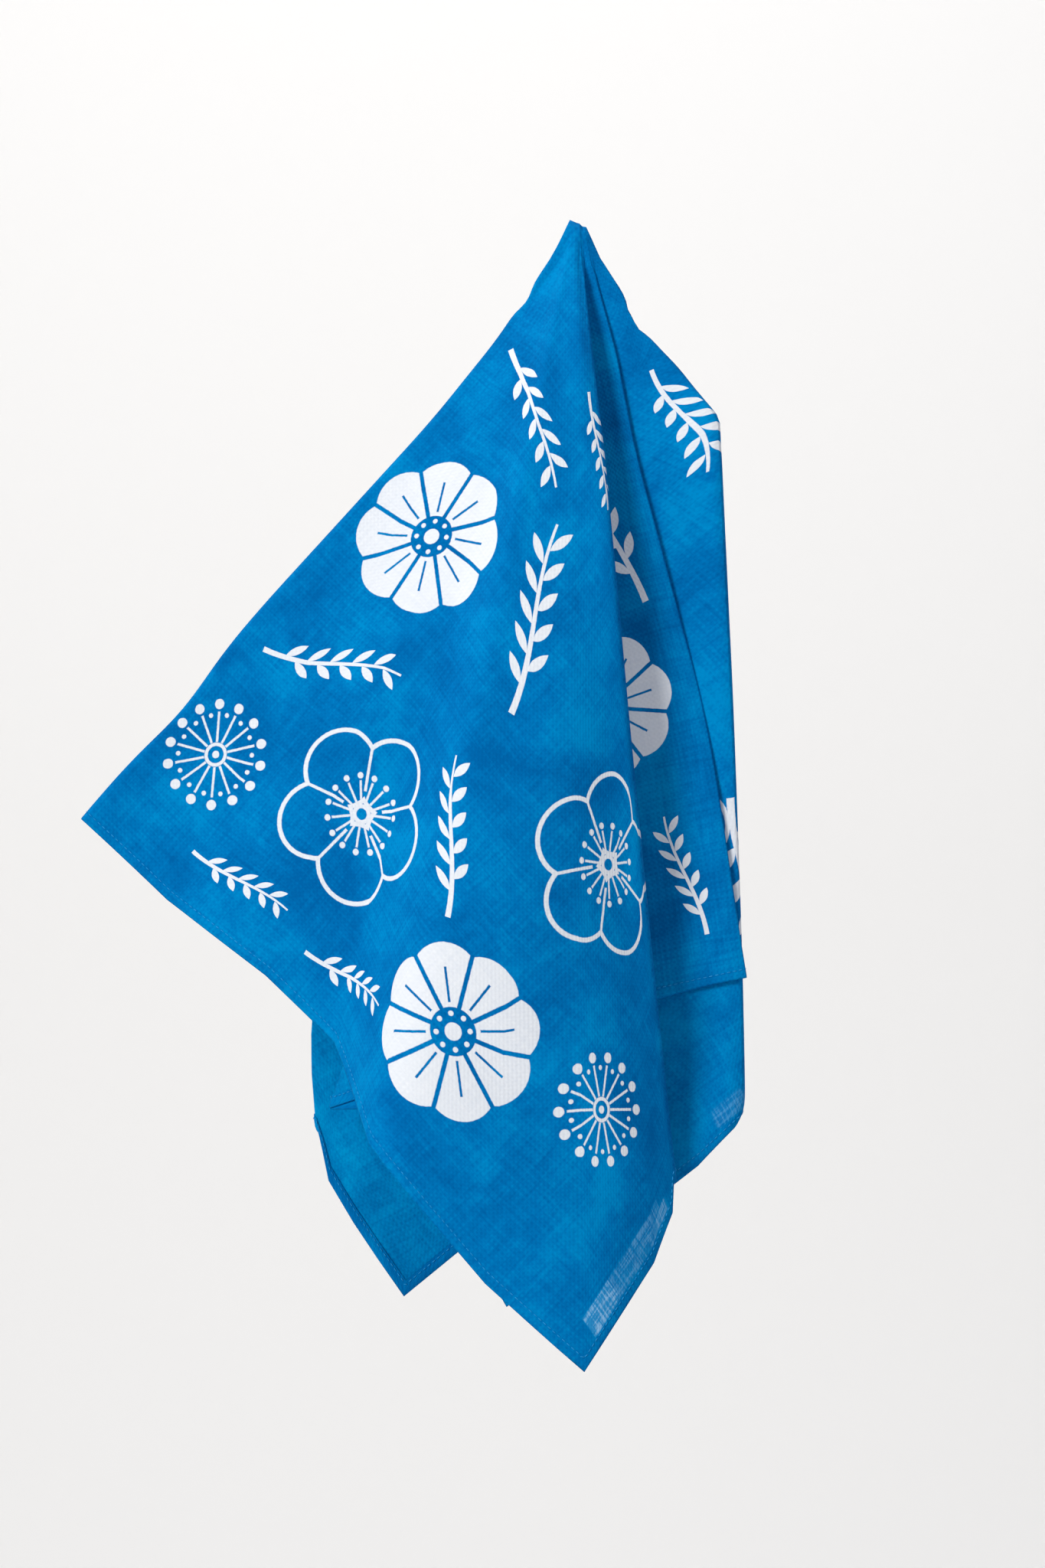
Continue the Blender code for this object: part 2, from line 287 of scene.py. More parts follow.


# %% [markdown]
# ## Creases
#
# Between the pleats real cotton keeps soft valleys and ridges: a drag line from the pinch, the ghost
# of an old fold, a swell where the panel bellies out. A noise would give them everywhere alike, so
# each one is placed on the layer that shows it, by where it hangs and how deep it is.

# %% Soft troughs and ridges, placed one by one
# Ends are (x, z) in metres as the cloth hangs. Lift is metres towards the front, a trough's is below 0.
Crease = namedtuple("Crease", "name layer start end width lift")
CREASES = (
    Crease("belly", 0, (-0.045, -0.150), (-0.020, -0.285), 0.030, 0.0025),
    Crease("drag_line", 0, (-0.012, -0.045), (-0.070, -0.190), 0.011, -0.0013),
    Crease("wing_trough", 0, (-0.060, -0.120), (-0.120, -0.205), 0.014, -0.0014),
    Crease("wing_ridge", 0, (-0.040, -0.110), (-0.085, -0.215), 0.010, 0.0010),
    Crease("neck_swell", 0, (0.0062, -0.052), (0.0095, -0.080), 0.006, 0.0030),
    Crease("roll_swell", 0, (0.0150, -0.125), (0.0235, -0.205), 0.008, 0.0045),
    Crease("corner_trough", 0, (-0.040, -0.255), (0.020, -0.330), 0.013, -0.0016),
    Crease("side_ridge", 2, (0.0137, -0.043), (0.0584, -0.2636), 0.006, 0.0006),
    Crease("shoulder_ridge", 4, (0.049, -0.065), (0.053, -0.135), 0.013, 0.0045),
    Crease("lobe_swell", 4, (0.046, -0.305), (0.042, -0.312), 0.020, 0.0090),
    Crease("rear_swell", 13, (-0.060, -0.100), (-0.090, -0.190), 0.024, -0.0020),
    Crease("rear_drag", 13, (0.000, -0.060), (-0.030, -0.230), 0.012, 0.0012),
)
CREASE_ENDS_OVER = 0.035


def crease_lift(layer, x, z):
    """How far the creases of this layer bring a point forward."""
    lift = 0.0
    here = Vector((x, z))
    for crease in CREASES:
        nearness = 1 - abs(layer - crease.layer) * 2
        if nearness <= 0:
            continue
        start, end = Vector(crease.start), Vector(crease.end)
        along = (here - start).dot(end - start) / (end - start).length
        past_end = max(-along, along - (end - start).length, 0.0)
        side = (here - start).cross(end - start) / (end - start).length
        fade = math.exp(-((side / crease.width) ** 2) - (past_end / CREASE_ENDS_OVER) ** 2)
        lift += crease.lift * nearness * fade
    return lift


print(len(CREASES), "creases by hand")

# %% [markdown]
# ## Rings of the square
#
# The cloth is divided into rings round its middle. Near the middle they are round, and towards the
# hem they grow square, so that the last ones lie parallel to the edge where the hem is sewn.

# %% Rings and the turns of the folds
COLUMN_STEP = 1.25
SEEN_TURN_COLUMNS = 9
HIDDEN_TURN_COLUMNS = 7
LEAST_PITCH = 0.0008
GENTLE_STEP = 0.0015
# Most of the gap to the next line that a turn may take, as it hangs and on the flat cloth
STEP_SHARE = 0.4
SPREAD_SHARE = 0.45

Station = namedtuple("Station", "cloth hang layer reach")

# Sideways and upward shift of the tip, from the left end of an ear to its right end, in metres
Ear = namedtuple("Ear", "left right at_left at_right")
FRONT_EAR = Ear(-36.0, 11.0, (-0.0006, 0.0033), (0.0014, 0.0023))
REAR_EAR = Ear(-20.0, 36.0, (0.0016, 0.0019), (0.0030, 0.0009))
EARS_FULL_AT = 0.0015
EARS_GONE_AT = 0.014


def hem_distance(cloth_angle):
    """How far the hem is from the middle of the flat square in this direction."""
    return SIDE / 2 / math.cos(math.radians(abs(cloth_angle % 90 - 45)))


def round_ring(out):
    """A ring this share of the way out, as a distance from the middle for each cloth angle."""
    half = SIDE / 2
    return lambda cloth_angle: out * half + out**2 * (hem_distance(cloth_angle) - half)


def hem_ring(inside):
    """A ring that runs this far inside the hem's edge, parallel to it."""
    return lambda cloth_angle: hem_distance(cloth_angle) * (1 - inside / (SIDE / 2))


def fold_stations(index, layer, ring):
    """The points of one line of the table: a single one, or a half turn from layer to layer."""
    fold, before, after = FOLDS[index], FOLDS[index - 1], FOLDS[(index + 1) % len(FOLDS)]
    distance = ring(fold.cloth) * fold.reach
    hang = hang_angle(fold, distance)
    if fold.turn == PLAIN:
        return [Station(fold.cloth, hang, layer, fold.reach)]

    pitch = abs(depth_of(distance, hang, layer) - depth_of(distance, hang, layer - 1))
    pitch = max(pitch, LEAST_PITCH)
    to_before = math.radians(hang - hang_angle(before, distance)) * distance
    to_after = math.radians(hang - hang_angle(after, distance)) * distance
    roundness = clamp(min(fold.turn * to_before, fold.turn * to_after) / pitch)
    gap = min(abs(to_before), abs(to_after))
    half_step = math.copysign(min(max(pitch / 2, GENTLE_STEP), STEP_SHARE * gap), to_before)
    room = min((fold.cloth - before.cloth) % 360, (after.cloth - fold.cloth) % 360)
    spread = min(math.degrees(math.pi / 4 * pitch / distance), SPREAD_SHARE * room)

    stations = []
    columns = SEEN_TURN_COLUMNS if fold.seen else HIDDEN_TURN_COLUMNS
    for column in range(columns):
        side = 2 * column / (columns - 1) - 1
        angle = side * math.pi / 2
        step = half_step * math.sin(angle) * (1 - roundness)
        bend = fold.turn * pitch / 2 * (math.cos(angle) - 1) * roundness
        shift = math.degrees((step + bend) / distance)
        through = layer - 1 + (1 + math.sin(angle)) / 2
        stations.append(Station(fold.cloth + side * spread, hang + shift, through, fold.reach))
    return stations


def ring_stations(ring):
    """All the points of one ring, starting and ending at the wing fold."""
    rows = []
    layer = -1
    for index, fold in enumerate(FOLDS):
        layer += abs(fold.turn)
        rows.append(fold_stations(index, layer, ring))
    wing = rows[0][0]
    closing = Station(wing.cloth + 360, wing.hang, wing.layer + len(LAYERS), wing.reach)
    rows.append([closing])

    stations = []
    row_angles = [fold.cloth for fold in FOLDS] + [FOLDS[0].cloth + 360]
    for index, row in enumerate(rows[:-1]):
        stations += row
        start, end = row[-1], rows[index + 1][0]
        steps = max(1, round((row_angles[index + 1] - row_angles[index]) / COLUMN_STEP))
        for step in range(1, steps):
            stations.append(Station(*(between(a, b, step / steps) for a, b in zip(start, end))))
    stations.append(closing)
    return stations


def ear_shift(distance, hang, layer):
    """The pinched tip isn't a point: the front panel and the layers behind stand up as two ears."""
    still_up = (EARS_GONE_AT - distance) / (EARS_GONE_AT - EARS_FULL_AT)
    rise = clamp(distance / EARS_FULL_AT) * clamp(still_up)
    shifts = []
    for ear in (FRONT_EAR, REAR_EAR):
        share = clamp((hang - ear.left) / (ear.right - ear.left))
        shifts.append(Vector(ear.at_left).lerp(Vector(ear.at_right), share))
    return shifts[0].lerp(shifts[1], clamp(abs(layer))) * rise


def place(station, ring):
    """Where a point of the cloth hangs, creases included."""
    distance = ring(station.cloth) * station.reach
    layer = station.layer
    # Past the rear layer the cloth comes round to the wing fold, where layers count from -1 to 0
    if layer > len(LAYERS) - 1:
        layer -= len(LAYERS)
    hang = math.radians(station.hang)
    x, z = distance * math.sin(hang), -distance * math.cos(hang)
    depth = depth_of(distance, station.hang, layer) - crease_lift(station.layer, x, z)
    aside, up = ear_shift(distance, station.hang, layer)
    return Vector((x + aside, depth, z + up))


def flat_place(cloth_angle, distance):
    """Where a point lies on the flat square, in metres from its middle."""
    beta = math.radians(cloth_angle - 45)
    return distance * math.cos(beta), distance * math.sin(beta)


# %% [markdown]
# ## The cloth and its hem
#
# Lawn is about a quarter of a millimetre thick, and its hem is the same cloth turned under twice and
# stitched. A thicker border could be painted on, but real rows of mesh turned back behind the edge
# catch the light as a hem does, with a soft step on the wrong side. The sheet itself is made as an
# open grid, and Solidify gives it its two faces, so that each face can have its own finish.

# %% Cut the square into rings and hang it
CLOTH_THICKNESS = 0.0003
INNER_RINGS = 92
RING_CROWDING = 1.12
HEM_WIDTH = 0.0040
HEM_DROP = 0.00050
RAW_EDGE_DROP = 0.00034
# Closer to the edge than this, the lines run parallel to it
HEM_LINES_WITHIN = 0.012
FLAT_HEM_LINES = (0.0090, 0.0064, 0.0048, 0.0038, 0.0028, 0.0017, 0.0008, 0.0002)
LAST_ROUND_RING = 1 - HEM_LINES_WITHIN / (SIDE / 2)
# The ring that closes on the pole, as a share of the next one
POLE_RING_SHARE = 1 / 8
# How far inside the edge each turned line lies, and how far it hangs behind the cloth
TURNED_HEM_LINES = (
    (0.0004, HEM_DROP / 2),
    (0.0012, HEM_DROP),
    (0.0026, HEM_DROP),
    (HEM_WIDTH - 0.0002, RAW_EDGE_DROP),
    (HEM_WIDTH, RAW_EDGE_DROP),
)
NORMAL_STEP = 0.0008
SAME_POINT = 1e-6
NO_LENGTH = 1e-7


def points_and_normals(ring, inner_ring, stations, inner_stations):
    """The points of a ring, and which way the right side faces at each of them."""
    points = [place(station, ring) for station in stations]
    inner = [place(station, inner_ring) for station in inner_stations]
    last = len(points) - 1
    normals = []
    for column, point in enumerate(points):
        before = points[column - 1] if column > 0 else points[last - 1]
        after = points[column + 1] if column < last else points[1]
        down = point - inner[column]
        normals.append(down.cross(after - before).normalized())
    return points, normals


def hem_places(inside):
    """Points and normals of the line that runs this far inside the hem's edge."""
    ring, inner_ring = hem_ring(inside), hem_ring(inside + NORMAL_STEP)
    return points_and_normals(ring, inner_ring, ring_stations(ring), ring_stations(inner_ring))


outs = [LAST_ROUND_RING * (n / INNER_RINGS) ** RING_CROWDING for n in range(INNER_RINGS + 1)]
rings = [round_ring(out) for out in outs] + [hem_ring(inside) for inside in FLAT_HEM_LINES]
rings[0] = round_ring(outs[1] * POLE_RING_SHARE)
ring_rows = [ring_stations(ring) for ring in rings]
columns = len(ring_rows[0]) - 1
cloth_rows = [[place(s, ring) for s in row] for ring, row in zip(rings, ring_rows)]
flat_rows = [
    [flat_place(s.cloth, ring(s.cloth)) for s in row] for ring, row in zip(rings, ring_rows)
]
pole = sum(cloth_rows[0][:-1], Vector()) / columns
cloth_rows[0] = [pole] * (columns + 1)
flat_rows[0] = [(0.0, 0.0)] * (columns + 1)
print(len(rings), "rings of", columns, "columns")

# %% Turn the hem under
for inside, drop in TURNED_HEM_LINES:
    points, normals = hem_places(inside)
    cloth_rows.append([point - normal * drop for point, normal in zip(points, normals)])
    beyond = hem_ring(-inside)
    flat_rows.append([flat_place(s.cloth, beyond(s.cloth)) for s in ring_stations(beyond)])
print("hem turned under over", HEM_WIDTH * 1000, "mm")

# %% Make the mesh, with the flat square as its map
def make_cloth():
    last_row = len(cloth_rows) - 1
    grid = bmesh.new()
    bmesh.ops.create_grid(grid, x_segments=columns, y_segments=last_row, size=0.5)
    cut = grid.loops.layers.uv.new("cut")
    for face in grid.faces:
        for loop in face.loops:
            column = round((loop.vert.co.x + 0.5) * columns)
            row = round((loop.vert.co.y + 0.5) * last_row)
            across, up = flat_rows[row][column]
            loop[cut].uv = (across / SIDE + 0.5, up / SIDE + 0.5)
    for vertex in grid.verts:
        column = round((vertex.co.x + 0.5) * columns)
        row = round((vertex.co.y + 0.5) * last_row)
        vertex.co = cloth_rows[row][column]
    bmesh.ops.remove_doubles(grid, verts=grid.verts, dist=SAME_POINT)
    bmesh.ops.dissolve_degenerate(grid, edges=grid.edges, dist=NO_LENGTH)
    bmesh.ops.reverse_faces(grid, faces=grid.faces)
    mesh = bpy.data.meshes.new("bandana_lawn")
    grid.to_mesh(mesh)
    grid.free()
    mesh.shade_smooth()
    return mesh


cloth = put_in_scene("bandana_lawn", make_cloth())
front_faces = sum(1 for face in cloth.data.polygons if face.normal.y < 0)
print(len(cloth.data.polygons), "faces,", front_faces, "face the front")

# %% Give it two faces
sheet = cloth.modifiers.new("two_faces", "SOLIDIFY")
sheet.thickness = CLOTH_THICKNESS
sheet.offset = 0
sheet.use_quality_normals = True
sheet.material_offset = 1
sheet.material_offset_rim = 0
print("two faces,", CLOTH_THICKNESS * 1000, "mm apart")

# %% [markdown]
# ## The stitches
#
# A machine sews the hem with a blue thread, one stitch every two millimetres, and pulls each one a
# little into the cloth. A thousand stitches could be a striped line in the finish, but then they
# vanish from close by. Geometry Nodes walk the sewing line instead and set one small capsule at each
# step, on both faces, laid along the line and flat against the cloth.

# %% The sewing line
STITCH_INSIDE = 0.0031


def make_sewing_line():
    """A closed loop of edges along the seam, which knows which way the cloth faces."""
    points, normals = hem_places(STITCH_INSIDE)
    points, normals = points[:-1], normals[:-1]
    edges = [(n, (n + 1) % len(points)) for n in range(len(points))]
    mesh = bpy.data.meshes.new("sewing_line")
    mesh.from_pydata(points, edges, [])
    facing = mesh.attributes.new("facing", "FLOAT_VECTOR", "POINT")
    for n, normal in enumerate(normals):
        facing.data[n].vector = normal
    return mesh


sewing_line = put_in_scene("hem_stitches", make_sewing_line())
print(len(sewing_line.data.vertices), "points on the sewing line")

# %% Helpers that add one node and start a node group
MATH = "ShaderNodeMath"
VECTOR = "ShaderNodeVectorMath"


def add(tree, kind, inputs=(), **settings):
    """Adds a node. Inputs are values, or nodes and sockets to link, in order or by name."""
    node = tree.nodes.new(kind)
    for name, value in settings.items():
        setattr(node, name, value)
    free = [socket for socket in node.inputs if socket.enabled]
    pairs = inputs.items() if isinstance(inputs, dict) else enumerate(inputs)
    for key, value in pairs:
        socket = free[key] if isinstance(key, int) else node.inputs[key]
        if isinstance(value, bpy.types.Node):
            value = next(output for output in value.outputs if output.enabled)
        if isinstance(value, bpy.types.NodeSocket):
            tree.links.new(value, socket)
        elif value is not None:
            socket.default_value = value
    return node


def new_group(name, kind, takes, gives):
    """An empty group with its inputs and outputs, each a name with its kind of socket."""
    tree = bpy.data.node_groups.new(name, kind)
    for way, sockets in (("INPUT", takes), ("OUTPUT", gives)):
        for socket, socket_kind in sockets.items():
            tree.interface.new_socket(socket, in_out=way, socket_type="NodeSocket" + socket_kind)
    return tree, add(tree, "NodeGroupInput")


# %% Thread
PLIES_PER_METRE = 900.0
PLY_RELIEF = 0.0001
THREAD_DARK = "#0074b8"
THREAD_LIGHT = "#3aa4de"


def linear(hex_colour):
    """An sRGB hex colour as the linear values that a shader takes."""
    channels = [int(hex_colour[n : n + 2], 16) / 255 for n in (1, 3, 5)]
    light = [c / 12.92 if c <= 0.04045 else ((c + 0.055) / 1.055) ** 2.4 for c in channels]
    return (*light, 1.0)


def new_material(name):
    material = bpy.data.materials.new(name)
    material.use_nodes = True
    material.node_tree.nodes.clear()
    return material


def make_thread():
    """Cotton thread, spun tight, dyed with the cloth and a shade lighter than it."""
    material = new_material("dyed_cotton_thread")
    tree = material.node_tree
    here = add(tree, "ShaderNodeTexCoord").outputs["Object"]
    plies = add(tree, "ShaderNodeTexNoise", {"Vector": here, "Scale": PLIES_PER_METRE, "Detail": 1.0})
    shade = add(tree, "ShaderNodeValToRGB", {"Fac": plies})
    shade.color_ramp.elements[0].color = linear(THREAD_DARK)
    shade.color_ramp.elements[1].color = linear(THREAD_LIGHT)
    relief = add(tree, "ShaderNodeBump", {"Height": plies, "Strength": 0.3, "Distance": PLY_RELIEF})
    cotton = add(
        tree,
        "ShaderNodeBsdfPrincipled",
        {
            "Base Color": shade.outputs[0],
            "Roughness": 0.65,
            "Specular IOR Level": 0.15,
            "Specular Tint": linear(THREAD_LIGHT),
            "Normal": relief,
        },
    )
    add(tree, "ShaderNodeOutputMaterial", {"Surface": cotton})
    return material


thread = make_thread()
print("thread", thread.name)

# %% The stitch tree
STITCH_PITCH = 0.0020
STITCH_LENGTH = 0.00150
STITCH_WIDTH = 0.00034
STITCH_RISE = 0.00006


def make_stitch_tree():
    """Geometry Nodes that sew along a loop of edges, on both faces of the cloth."""
    measures = dict.fromkeys(("Pitch", "Length", "Width", "Front face", "Back face"), "Float")
    takes = {"Line": "Geometry", **measures, "Thread": "Material"}
    tree, given = new_group("sew_hem", "GeometryNodeTree", takes, {"Stitches": "Geometry"})

    curve = add(tree, "GeometryNodeMeshToCurve", {"Mesh": given.outputs["Line"]})
    walk = {"Curve": curve, "Length": given.outputs["Pitch"]}
    steps = add(tree, "GeometryNodeResampleCurve", walk, mode="LENGTH")
    facing = add(tree, "GeometryNodeInputNamedAttribute", {"Name": "facing"}, data_type="FLOAT_VECTOR")
    along = add(tree, "GeometryNodeInputTangent")
    lie_along = add(tree, "FunctionNodeAlignRotationToVector", {"Vector": along}, axis="X")
    roll = {"Rotation": lie_along, "Vector": facing}
    lie_flat = add(tree, "FunctionNodeAlignRotationToVector", roll, axis="Z", pivot_axis="X")
    capsule = add(tree, "GeometryNodeMeshUVSphere", {"Segments": 6, "Rings": 4, "Radius": 0.5})
    capsule = add(tree, "GeometryNodeSetShadeSmooth", {"Geometry": capsule})
    length, width = given.outputs["Length"], given.outputs["Width"]
    size = add(tree, "ShaderNodeCombineXYZ", (length, width, width))
    stitch = {"Points": steps, "Instance": capsule, "Rotation": lie_flat, "Scale": size}
    stitches = add(tree, "GeometryNodeInstanceOnPoints", stitch)
    join = add(tree, "GeometryNodeJoinGeometry")
    for face in ("Front face", "Back face"):
        off = add(tree, VECTOR, {"Vector": facing, "Scale": given.outputs[face]}, operation="SCALE")
        shift = {"Instances": stitches, "Translation": off, "Local Space": False}
        moved = add(tree, "GeometryNodeTranslateInstances", shift)
        tree.links.new(moved.outputs[0], join.inputs[0])
    real = add(tree, "GeometryNodeRealizeInstances", {"Geometry": join})
    dyed = add(tree, "GeometryNodeSetMaterial", {"Geometry": real, "Material": given.outputs["Thread"]})
    add(tree, "NodeGroupOutput", {"Stitches": dyed})
    return tree


sewing = sewing_line.modifiers.new("sewing", "NODES")
sewing.node_group = make_stitch_tree()
settings = {
    "Pitch": STITCH_PITCH,
    "Length": STITCH_LENGTH,
    "Width": STITCH_WIDTH,
    "Front face": CLOTH_THICKNESS / 2 + STITCH_RISE,
    "Back face": -(HEM_DROP + CLOTH_THICKNESS / 2 + STITCH_RISE),
    "Thread": thread,
}
for item in sewing.node_group.interface.items_tree:
    if item.in_out == "INPUT" and item.name in settings:
        sewing[item.identifier] = settings[item.name]

# %% Turn the stitches into a plain mesh
graph = bpy.context.evaluated_depsgraph_get()
sewn = bpy.data.meshes.new_from_object(sewing_line.evaluated_get(graph))
sewing_line.modifiers.clear()
sewing_line.data = sewn
print(len(sewn.polygons), "faces of stitches")

# %% [markdown]
# ## The print
#
# The white figures are blue dye kept off the cloth, so they show on both faces with a crisp edge that
# wobbles by a thread. They could be painted on an image, but a drawing by rule stays sharp from any
# distance. Each kind of figure is drawn once, as a distance in millimetres that is below zero inside
# the white. A table then says where each kind stands in one quarter of the square:
# plum blossoms, cosmos, seed heads and leafy twigs. The other quarters are the same one turned round
# the middle. From the front the folds hide the partings between quarters, and from behind these cut
# off no more than the tip of a twig.

# %% Where the figures stand in the front quarter, in millimetres from the middle, and their turn
# The direction on the flat cloth in which the front quarter starts
QUARTER_STARTS = math.radians(-115)
Figure = namedtuple("Figure", "kind x y turn size")
FIGURES = (
    Figure("plum_blossom", 76.0, -196.0, 12.0, 1.00),
    Figure("plum_blossom", 158.0, -136.0, -20.0, 1.00),
    Figure("cosmos", 31.0, -111.0, 31.0, 0.98),
    Figure("cosmos", 157.0, -213.0, 8.0, 1.00),
    Figure("cosmos", -34.0, -160.0, 50.0, 0.90),
    Figure("seed_head", 21.5, -213.0, 0.0, 0.98),
    Figure("seed_head", 209.0, -195.0, 20.0, 0.96),
    Figure("seed_head", -52.0, -222.0, 20.0, 0.96),
    Figure("twig", 32.0, -56.0, -32.0, 0.62),
    Figure("twig", 82.0, -101.0, 112.0, 0.74),
    Figure("twig", 34.0, -164.0, 18.0, 0.60),
    Figure("twig", 113.0, -171.0, 124.0, 0.60),
    Figure("twig", 110.0, -238.0, 8.0, 0.50),
    Figure("twig", 57.0, -240.0, -4.0, 0.46),
    Figure("twig", 61.5, -44.0, -38.0, 0.46),
    Figure("twig", 200.0, -119.0, -31.0, 0.80),
    Figure("twig", -15.0, -222.0, 92.0, 0.50),
    Figure("twig", -22.0, -98.0, 100.0, 0.78),
)


def new_drawing(name):
    """A node group that takes a place in millimetres and gives the distance to the white."""
    return new_group(name, "ShaderNodeTree", {"Place": "Vector"}, {"Distance": "Float"})


def nearest_of(tree, shapes):
    """Joins shapes: the nearest one counts."""
    nearest = shapes[0]
    for shape in shapes[1:]:
        nearest = add(tree, MATH, (nearest, shape), operation="MINIMUM")
    return nearest


def finish_drawing(tree, shapes):
    add(tree, "NodeGroupOutput", {"Distance": nearest_of(tree, shapes)})
    return tree


# %% Petals: one sector drawn for all
def make_sector():
    """Folds the plane round a point into one sector, for flowers with any number of petals."""
    takes = {"Place": "Vector", "Petals": "Float"}
    gives = {"Petal": "Vector", "Along": "Float", "Aside": "Float", "Radius": "Float"}
    tree, given = new_group("sector", "ShaderNodeTree", takes, gives)
    parts = add(tree, "ShaderNodeSeparateXYZ", (given.outputs["Place"],))
    angle = add(tree, MATH, (parts.outputs["Y"], parts.outputs["X"]), operation="ARCTAN2")
    radius = add(tree, VECTOR, (given.outputs["Place"],), operation="LENGTH")
    half = add(tree, MATH, (math.pi, given.outputs["Petals"]), operation="DIVIDE")
    other_half = add(tree, MATH, (half, -1.0), operation="MULTIPLY")
    inside = add(tree, MATH, (angle, half, other_half), operation="WRAP")
    cosine = add(tree, MATH, (inside,), operation="COSINE")
    sine = add(tree, MATH, (inside,), operation="SINE")
    along = add(tree, MATH, (radius, cosine), operation="MULTIPLY")
    aside = add(tree, MATH, (radius, sine), operation="MULTIPLY")
    aside = add(tree, MATH, (aside,), operation="ABSOLUTE")
    petal = add(tree, "ShaderNodeCombineXYZ", (along, aside, 0.0))
    add(tree, "NodeGroupOutput", {"Petal": petal, "Along": along, "Aside": aside, "Radius": radius})
    return tree


SECTOR = make_sector()


def in_sector(tree, given, petals):
    """The outputs of the sector: a place in the one petal, its two parts, and its radius."""
    return add(tree, "ShaderNodeGroup", (given.outputs[0], petals), node_tree=SECTOR).outputs


def dot(tree, petal, out, radius, turned=0.0):
    """A round dot this far out in a petal, on its middle line or turned away from it."""
    centre = (out * math.cos(turned), out * math.sin(turned), 0.0)
    reach = add(tree, VECTOR, (petal, centre), operation="DISTANCE")
    return add(tree, MATH, (reach, radius), operation="SUBTRACT")


def band(tree, value, middle, half_width):
    """Below zero where a value lies within a half width of its middle."""
    offset = add(tree, MATH, (value, middle), operation="SUBTRACT")
    offset = add(tree, MATH, (offset,), operation="ABSOLUTE")
    return add(tree, MATH, (offset, half_width), operation="SUBTRACT")


def stroke(tree, aside, half_width, out, start, end):
    """A straight line between two distances from the flower's middle."""
    wide = band(tree, aside, 0.0, half_width)
    long = band(tree, out, (start + end) / 2, (end - start) / 2)
    return add(tree, MATH, (wide, long), operation="MAXIMUM")


def from_parting(tree, petal, petals):
    """Distance from the line where two of this many petals meet."""
    half = math.pi / petals
    across = (math.sin(half), -math.cos(half), 0.0)
    return add(tree, VECTOR, (petal, across), operation="DOT_PRODUCT")


# %% Plum blossom: five round petals in outline, with stamens
def draw_plum_blossom():
    tree, given = new_drawing("plum_blossom")
    five = in_sector(tree, given, petals=5.0)
    petal, radius = five["Petal"], five["Radius"]
    rim = band(tree, dot(tree, petal, out=16.5, radius=13.0), middle=0.0, half_width=0.75)
    seam = from_parting(tree, petal, petals=5)
    parting = stroke(tree, seam, half_width=0.5, out=radius, start=7.6, end=21.6)

    stamen = in_sector(tree, given, petals=15.0)
    filament = stroke(tree, stamen["Aside"], half_width=0.38, out=radius, start=4.2, end=11.0)
    tip = dot(tree, stamen["Petal"], out=12.6, radius=1.05)
    eye = band(tree, radius, middle=2.6, half_width=0.7)
    return finish_drawing(tree, [rim, parting, filament, tip, eye])


# %% Cosmos: eight solid petals, parted, with a vein left blue
COSMOS_CLEAR_TO = 7.6
COSMOS_HEART = 2.8
COSMOS_PARTING_HALF = 0.75


def draw_cosmos():
    tree, given = new_drawing("cosmos")
    eight = in_sector(tree, given, petals=8.0)
    petal, radius = eight["Petal"], eight["Radius"]
    solid = dot(tree, petal, out=16.2, radius=11.4)
    seam = from_parting(tree, petal, petals=8)
    vein = stroke(tree, eight["Aside"], half_width=0.42, out=eight["Along"], start=9.0, end=20.0)
    left_blue = [
        add(tree, MATH, (COSMOS_PARTING_HALF, seam), operation="SUBTRACT"),
        add(tree, MATH, (vein, -1.0), operation="MULTIPLY"),
        add(tree, MATH, (COSMOS_CLEAR_TO, radius), operation="SUBTRACT"),
    ]
    for part in left_blue:
        solid = add(tree, MATH, (solid, part), operation="MAXIMUM")
    dots = dot(tree, petal, out=5.6, radius=0.85)
    heart = add(tree, MATH, (radius, COSMOS_HEART), operation="SUBTRACT")
    return finish_drawing(tree, [solid, dots, heart])


# %% Seed head: fourteen rays with a dot on each
SEED_HEART = 1.3


def draw_seed_head():
    tree, given = new_drawing("seed_head")
    rays = in_sector(tree, given, petals=14.0)
    petal, radius = rays["Petal"], rays["Radius"]
    ray = stroke(tree, rays["Aside"], half_width=0.42, out=radius, start=4.4, end=14.8)
    seed = dot(tree, petal, out=17.4, radius=1.75)
    small = dot(tree, petal, out=13.8, radius=0.8, turned=math.pi / 14)
    ring = band(tree, radius, middle=3.6, half_width=0.6)
    heart = add(tree, MATH, (radius, SEED_HEART), operation="SUBTRACT")
    return finish_drawing(tree, [ray, seed, small, ring, heart])


# %% Twig: a bowed stem with leaves on both sides
# The stem bows as a sine wave does, one radian for each bow length
TWIG_HALF = 42.0
BOW_HEIGHT = 7.0
BOW_LENGTH = 26.0
STEM_HALF_WIDTH = 1.10
STEM_TAPER = 0.0110
LEAF_PITCH = 13.0
LEAF_LEAN = math.radians(40)
LEAF_MIDDLE = 8.0
LEAF_HALF_LENGTH = 6.6
LEAF_HALF_WIDTH = 2.3
LEAF_STARTS_BEFORE = 1.5
BARE_ENDS = 5.0


